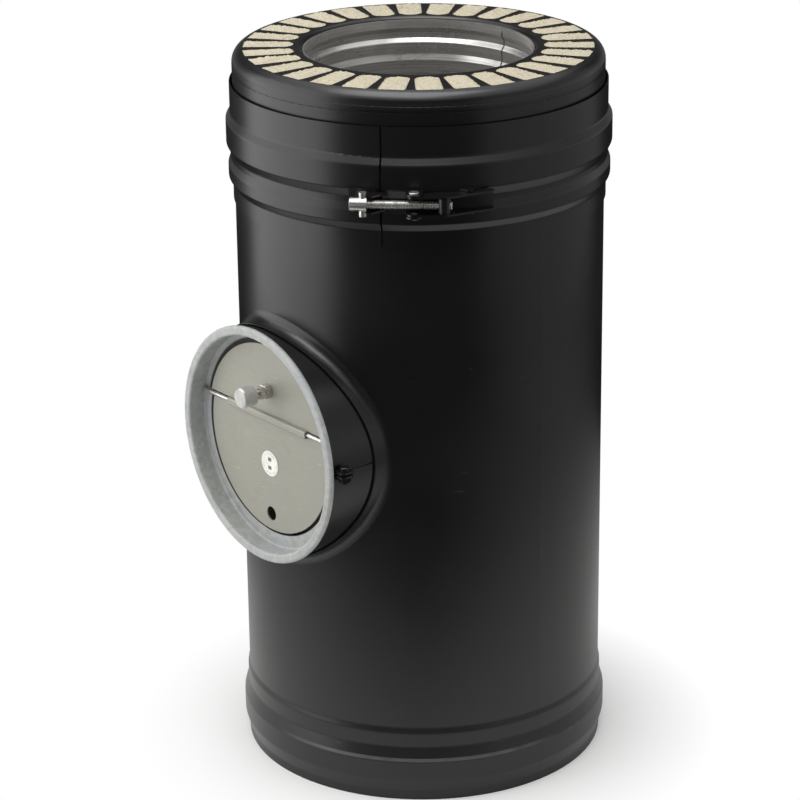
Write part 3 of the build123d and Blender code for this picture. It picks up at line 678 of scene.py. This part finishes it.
def seam_points(seam):
    """The liner's weld: a low half-round ridge carried down the inside of the liner's profile."""
    flue, stop_bead, socket, seal_bead = seam.flue, seam.stop_bead, seam.socket, seam.seal_bead
    heights = np.array([32, 53, 56, 58, 61, 470, 474, 482, 485, 489, 492, 497.5]) * MM
    walls = np.repeat([flue, stop_bead, flue, socket, seal_bead, socket], 2)
    level = np.unique(np.concatenate([heights, np.linspace(heights[0], heights[-1], 160)]))
    wall = np.interp(level, heights, walls)
    sweep = np.linspace(0, np.pi, 9)
    ripple = 1 + 0.18 * np.sin(level / (1.1 * MM))
    side = np.cos(sweep)[None, :] * seam.width / 2 * (0.9 + 0.1 * ripple[:, None])
    radius = wall[:, None] - np.sin(sweep)[None, :] * seam.rise * ripple[:, None] + 0.04 * MM
    spin = seam.place + side / wall[:, None]
    points = np.stack([radius * np.cos(spin), radius * np.sin(spin), level[:, None] + 0 * spin], -1)
    first, last = (np.broadcast_to(points[row].mean(0), points[:1].shape) for row in (0, -1))
    return np.concatenate([first, points, last])[None]


def joint_points(seam):
    """The paint-filled joint of top ring and shell: a flush hoop of the shell's radius over the joint's
    groove, its edges drawn in a little and closed on the inside."""
    low, high, radius = seam.joint_low, seam.joint_high, seam.joint_radius
    edge, flat, inside = radius - 0.08 * MM, 0.5 * MM, radius - 1 * MM
    axial = [low, low + flat, high - flat, high, high, low, low]
    radial = [edge, radius, radius, edge, inside, inside, edge]
    turned = lathe(axial, radial, 240)
    return place_turned(*turned, (0, 0, 0), (0, 0, 1), (1, 0, 0), (0, 1, 0))[None]


class STOVEPIPE_OT_paint(Operator):
    """Paint the shell, caps, band, collar and the lock's brackets"""

    bl_idname = "stovepipe.paint"
    bl_label = "Paint black pieces"

    def execute(self, context):
        dress(paint_material, "outer_shell", "top_cap", "bottom_cap", "locking_band", "branch_collar")
        points = joint_points(context.scene.stove_pipe_seam)
        skin("painted_joint", points, paint_material, "pipe")
        dress(paint_material, "hook_bracket", "lever_bracket", "lock_lever", "barrel_nut")
        dress(paint_material, "pinch_screw", "pinch_nut")
        return {"FINISHED"}


class STOVEPIPE_OT_flue(Operator):
    """Give the liner its stainless finish and weld seam, and the sleeve a near-black finish of painted shade
    """

    bl_idname = "stovepipe.flue"
    bl_label = "Dress flue"

    def execute(self, context):
        dress(stainless_material, "inner_liner")
        dress(shaded_sleeve_material, "branch_sleeve")
        seam = context.scene.stove_pipe_seam
        skin("liner_weld_seam", seam_points(seam), seam_material, "pipe")
        return {"FINISHED"}


class STOVEPIPE_OT_wool(Operator):
    """Fill the slots of the top ring with pads of mineral wool"""

    bl_idname = "stovepipe.wool"
    bl_label = "Fill with wool"

    def execute(self, context):
        points = wool_points(context.scene.stove_pipe_wool)
        skin("wool_pads", points, wool_material, "pipe", ("insulation",))
        return {"FINISHED"}


class STOVEPIPE_OT_regulator(Operator):
    """Finish the regulator's ring, disc, axle, knob and label"""

    bl_idname = "stovepipe.regulator"
    bl_label = "Dress regulator"

    def execute(self, context):
        dress(zinc_material, "regulator_ring")
        dress(disc_material, "regulator_disc")
        dress(bright_material, "axle_rod")
        dress(knob_material, "weight_knob")
        dress(label_material, "disc_label")
        return {"FINISHED"}


class STOVEPIPE_OT_stud(Operator):
    """Make the counterweight's threaded stud and its nuts"""

    bl_idname = "stovepipe.stud"
    bl_label = "Make stud and nuts"

    def execute(self, context):
        stud = context.scene.stove_pipe_stud
        points = stud_points(stud)
        rod = skin("threaded_stud", points, bright_material, "damper", ("weight_stud",))
        sharpen(rod, 30)
        behind = -stud.sheet - stud.seat_gap - stud.back_length
        for name, start, length, flats in (
            ("stud_base_nut", 0.0, stud.base_length, stud.base_flats),
            ("stud_lock_nut", stud.base_length + stud.seat_gap, stud.lock_length, stud.lock_flats),
            ("stud_back_nut", behind, stud.back_length, stud.base_flats),
        ):
            points = nut_points(stud, start, length, flats)
            nut = skin("chamfered_" + name, points, bright_material, "damper", (name,))
            sharpen(nut, 25)
        return {"FINISHED"}


class STOVEPIPE_OT_lock(Operator):
    """Make the band's tension screw and finish the bright pieces of its lock"""

    bl_idname = "stovepipe.lock"
    bl_label = "Make lock screw"

    def execute(self, context):
        dress(bright_material, "tee_bar", "lever_pivots")
        points = screw_points(context.scene.stove_pipe_lock)
        name, replaced = "threaded_tension_screw", ("tension_screw",)
        screw = skin(name, points, bright_material, "draw_bolt", replaced)
        sharpen(screw, 30)
        return {"FINISHED"}


class STOVEPIPE_OT_stage(Operator):
    """Set up the floor, the background, the studio lights and the camera"""

    bl_idname = "stovepipe.stage"
    bl_label = "Set stage"

    def execute(self, context):
        stage = context.scene.stove_pipe_stage
        context.scene.view_settings.view_transform = "Standard"
        make_floor(stage)
        make_curtain()
        make_world(context.scene, stage)
        make_lights(stage)
        make_camera(context.scene, stage)
        return {"FINISHED"}


def sees_background(tree):
    """1 for rays from the camera, from gloss and through glass; 0 for the light that falls on the object."""
    light = add(tree, "LightPath")
    either = times(tree, light.outputs["Is Camera Ray"], light.outputs["Is Glossy Ray"], "MAXIMUM")
    return times(tree, either, light.outputs["Is Transmission Ray"], "MAXIMUM")


def make_floor(stage):
    """A wide pale floor. The camera sees it white but for the pipe's shadow, and gloss sees a pale patch
    that fades out round the pipe's foot, farther out to the left and right."""
    reach = 6.0
    patch_start = 0.15
    to_right, to_left = 0.45, -0.25
    shadow_start, shadow_end = 0.10, 0.21
    level = -0.05 * MM
    corners = [(-reach, -reach, level), (reach, -reach, level), (reach, reach, level), (-reach, reach, level)]
    mesh = bpy.data.meshes.new("floor")
    mesh.from_pydata(corners, [], [(0, 1, 2, 3)])
    floor = bpy.data.objects.new("floor", mesh)
    bpy.context.scene.collection.objects.link(floor)
    material, tree, shader = new_material("pale_floor")
    shader.inputs["Roughness"].default_value = 0.9
    shader.inputs["Specular IOR Level"].default_value = 0.0
    shader.inputs["Base Color"].default_value = (*stage.floor, 1)
    place = add(tree, "TexCoord").outputs["Object"]
    far = vector(tree, "LENGTH", place)
    side = vector(tree, "DOT_PRODUCT", place, (math.cos(stage.azimuth), math.sin(stage.azimuth), 0))
    wide = times(tree, times(tree, side, to_right), times(tree, side, to_left), "MAXIMUM")
    dark = spread(tree, times(tree, far, wide, "SUBTRACT"), patch_start, stage.floor_reach)
    light = add(tree, "LightPath")
    black = add(tree, "BsdfDiffuse", {"Color": (0.012, 0.012, 0.012, 1)})
    in_gloss = times(tree, dark, light.outputs["Is Glossy Ray"])
    seen = add(tree, "MixShader", {0: in_gloss, 1: shader.outputs[0], 2: black.outputs[0]})
    white = add(tree, "Emission", {"Strength": 1.0})
    open_floor = spread(tree, far, shadow_start, shadow_end)
    to_white = times(tree, open_floor, light.outputs["Is Camera Ray"])
    final = add(tree, "MixShader", {0: to_white, 1: seen.outputs[0], 2: white.outputs[0]})
    out = next(n for n in tree.nodes if n.type == "OUTPUT_MATERIAL")
    tree.links.new(final.outputs[0], out.inputs["Surface"])
    mesh.materials.append(material)


def make_curtain():
    """A dark studio curtain round the stage, seen only in gloss: its foot glows faintly as a painted
    reflection of the floor's light, and the white background shows above it."""
    radius, height, columns = 2.6, 2.4, 64
    turned = lathe([0, height], [radius, radius], columns)
    points = place_turned(*turned, (0, 0, 0), (0, 0, 1), (1, 0, 0), (0, 1, 0))
    mesh = bpy.data.meshes.new("curtain")
    mesh.from_pydata(points.reshape(-1, 3).tolist(), [], sheet_faces(1, 2, columns).tolist())
    curtain = bpy.data.objects.new("curtain", mesh)
    bpy.context.scene.collection.objects.link(curtain)
    material, tree, shader = new_material("dark_curtain")
    shader.inputs["Base Color"].default_value = (0.03, 0.03, 0.03, 1)
    shader.inputs["Roughness"].default_value = 0.9
    shader.inputs["Emission Color"].default_value = (1, 1, 1, 1)
    up = add(tree, "SeparateXYZ", {0: add(tree, "TexCoord").outputs["Object"]}).outputs["Z"]
    # Painted glow: the curtain's foot emits light in place of the floor's reflected light, fading out with
    # height.
    tree.links.new(spread(tree, up, 0.5, 1.1, 0.20, 0.0), shader.inputs["Emission Strength"])
    mesh.materials.append(material)
    for sight in ("camera", "diffuse", "shadow", "transmission"):
        setattr(curtain, "visible_" + sight, False)


def make_world(scene, stage):
    """Even dim light for the object, and a white background for what the camera and gloss see."""
    world = bpy.data.worlds.new("studio")
    world.use_nodes = True
    tree = world.node_tree
    out = next(n for n in tree.nodes if n.type == "OUTPUT_WORLD")
    light = add(tree, "Background", {"Strength": stage.ambient})
    white = add(tree, "Background", {"Strength": 1.0})
    for node in (light, white):
        node.inputs["Color"].default_value = (1, 1, 1, 1)
    mix = add(tree, "MixShader", {0: sees_background(tree), 1: light.outputs[0], 2: white.outputs[0]})
    tree.links.new(mix.outputs[0], out.inputs["Surface"])
    scene.world = world


def make_lights(stage):
    """A tall soft panel on the left, a weak one on the right, both on the floor, and one overhead: each with
    its power, turn round the pipe, distance, height, width, length and the height that it is aimed at."""
    for name, power, turn, out, height, width, length, aim in (
        ("key_light", stage.key, stage.azimuth - math.radians(85), 0.80, 0.56, 1.05, 1.08, 0.56),
        ("fill_light", stage.fill, stage.azimuth + math.radians(82), 0.85, 0.56, 1.8, 1.08, 0.56),
        ("top_light", stage.top, math.radians(20), 0.3, 1.9, 1.3, 1.3, 0.5),
    ):
        lamp = bpy.data.lights.new(name, "AREA")
        lamp.shape = "RECTANGLE"
        lamp.size, lamp.size_y = width, length
        lamp.energy = power
        light = bpy.data.objects.new(name, lamp)
        bpy.context.scene.collection.objects.link(light)
        light.location = (math.sin(turn) * out, -math.cos(turn) * out, height)
        way = Vector((0, 0, aim)) - light.location
        light.rotation_euler = way.to_track_quat("-Z", "Y").to_euler()
        light.visible_camera = False


def make_camera(scene, stage):
    """A long lens at the photograph's angle: turned round the pipe, pitched down, then rolled."""
    data = bpy.data.cameras.new("camera")
    data.lens = stage.lens
    data.sensor_width = 36.0
    camera = bpy.data.objects.new("camera", data)
    scene.collection.objects.link(camera)
    heading = stage.azimuth - stage.yaw
    level = math.cos(stage.pitch)
    ahead = Vector((-math.sin(heading) * level, math.cos(heading) * level, -math.sin(stage.pitch)))
    side = Vector((math.cos(heading), math.sin(heading), 0))
    up = side.cross(ahead)
    right = math.cos(stage.roll) * side + math.sin(stage.roll) * up
    top = -math.sin(stage.roll) * side + math.cos(stage.roll) * up
    camera.matrix_world = Matrix((right, top, -ahead)).transposed().to_4x4()
    away = Vector((math.sin(stage.azimuth), -math.cos(stage.azimuth), 0))
    camera.location = away * stage.distance + Vector((0, 0, stage.height))
    scene.camera = camera


class STOVEPIPE_PT_panel(Panel):
    """Lists the pipe's sizes, finishes and steps."""

    bl_label = "Stove pipe"
    bl_idname = "STOVEPIPE_PT_panel"
    bl_space_type = "VIEW_3D"
    bl_region_type = "UI"
    bl_category = "Stove pipe"

    def draw(self, context):
        for step in STEPS:
            self.layout.operator(step.bl_idname)
        for name, group in GROUPS.items():
            box = self.layout.box()
            box.label(text=group.__doc__)
            for key in group.__annotations__:
                box.prop(getattr(context.scene, name), key)


STEPS = (
    STOVEPIPE_OT_paint,
    STOVEPIPE_OT_flue,
    STOVEPIPE_OT_wool,
    STOVEPIPE_OT_regulator,
    STOVEPIPE_OT_stud,
    STOVEPIPE_OT_lock,
    STOVEPIPE_OT_stage,
)
GROUPS = {
    "stove_pipe_finish": StovePipeFinish,
    "stove_pipe_wool": StovePipeWool,
    "stove_pipe_lock": StovePipeLock,
    "stove_pipe_stud": StovePipeStud,
    "stove_pipe_seat": StovePipeSeat,
    "stove_pipe_seam": StovePipeSeam,
    "stove_pipe_foot": StovePipeFoot,
    "stove_pipe_stage": StovePipeStage,
}


def register():
    for cls in (*GROUPS.values(), *STEPS, STOVEPIPE_PT_panel):
        bpy.utils.register_class(cls)
    for name, group in GROUPS.items():
        setattr(bpy.types.Scene, name, PointerProperty(type=group))


def unregister():
    for name in GROUPS:
        delattr(bpy.types.Scene, name)
    for cls in (STOVEPIPE_PT_panel, *reversed(STEPS), *reversed(list(GROUPS.values()))):
        bpy.utils.unregister_class(cls)


def main():
    register()
    bpy.ops.stovepipe.paint()
    bpy.ops.stovepipe.flue()
    bpy.ops.stovepipe.wool()
    bpy.ops.stovepipe.regulator()
    bpy.ops.stovepipe.stud()
    bpy.ops.stovepipe.lock()
    bpy.ops.stovepipe.stage()


if __name__ == "__main__":
    main()
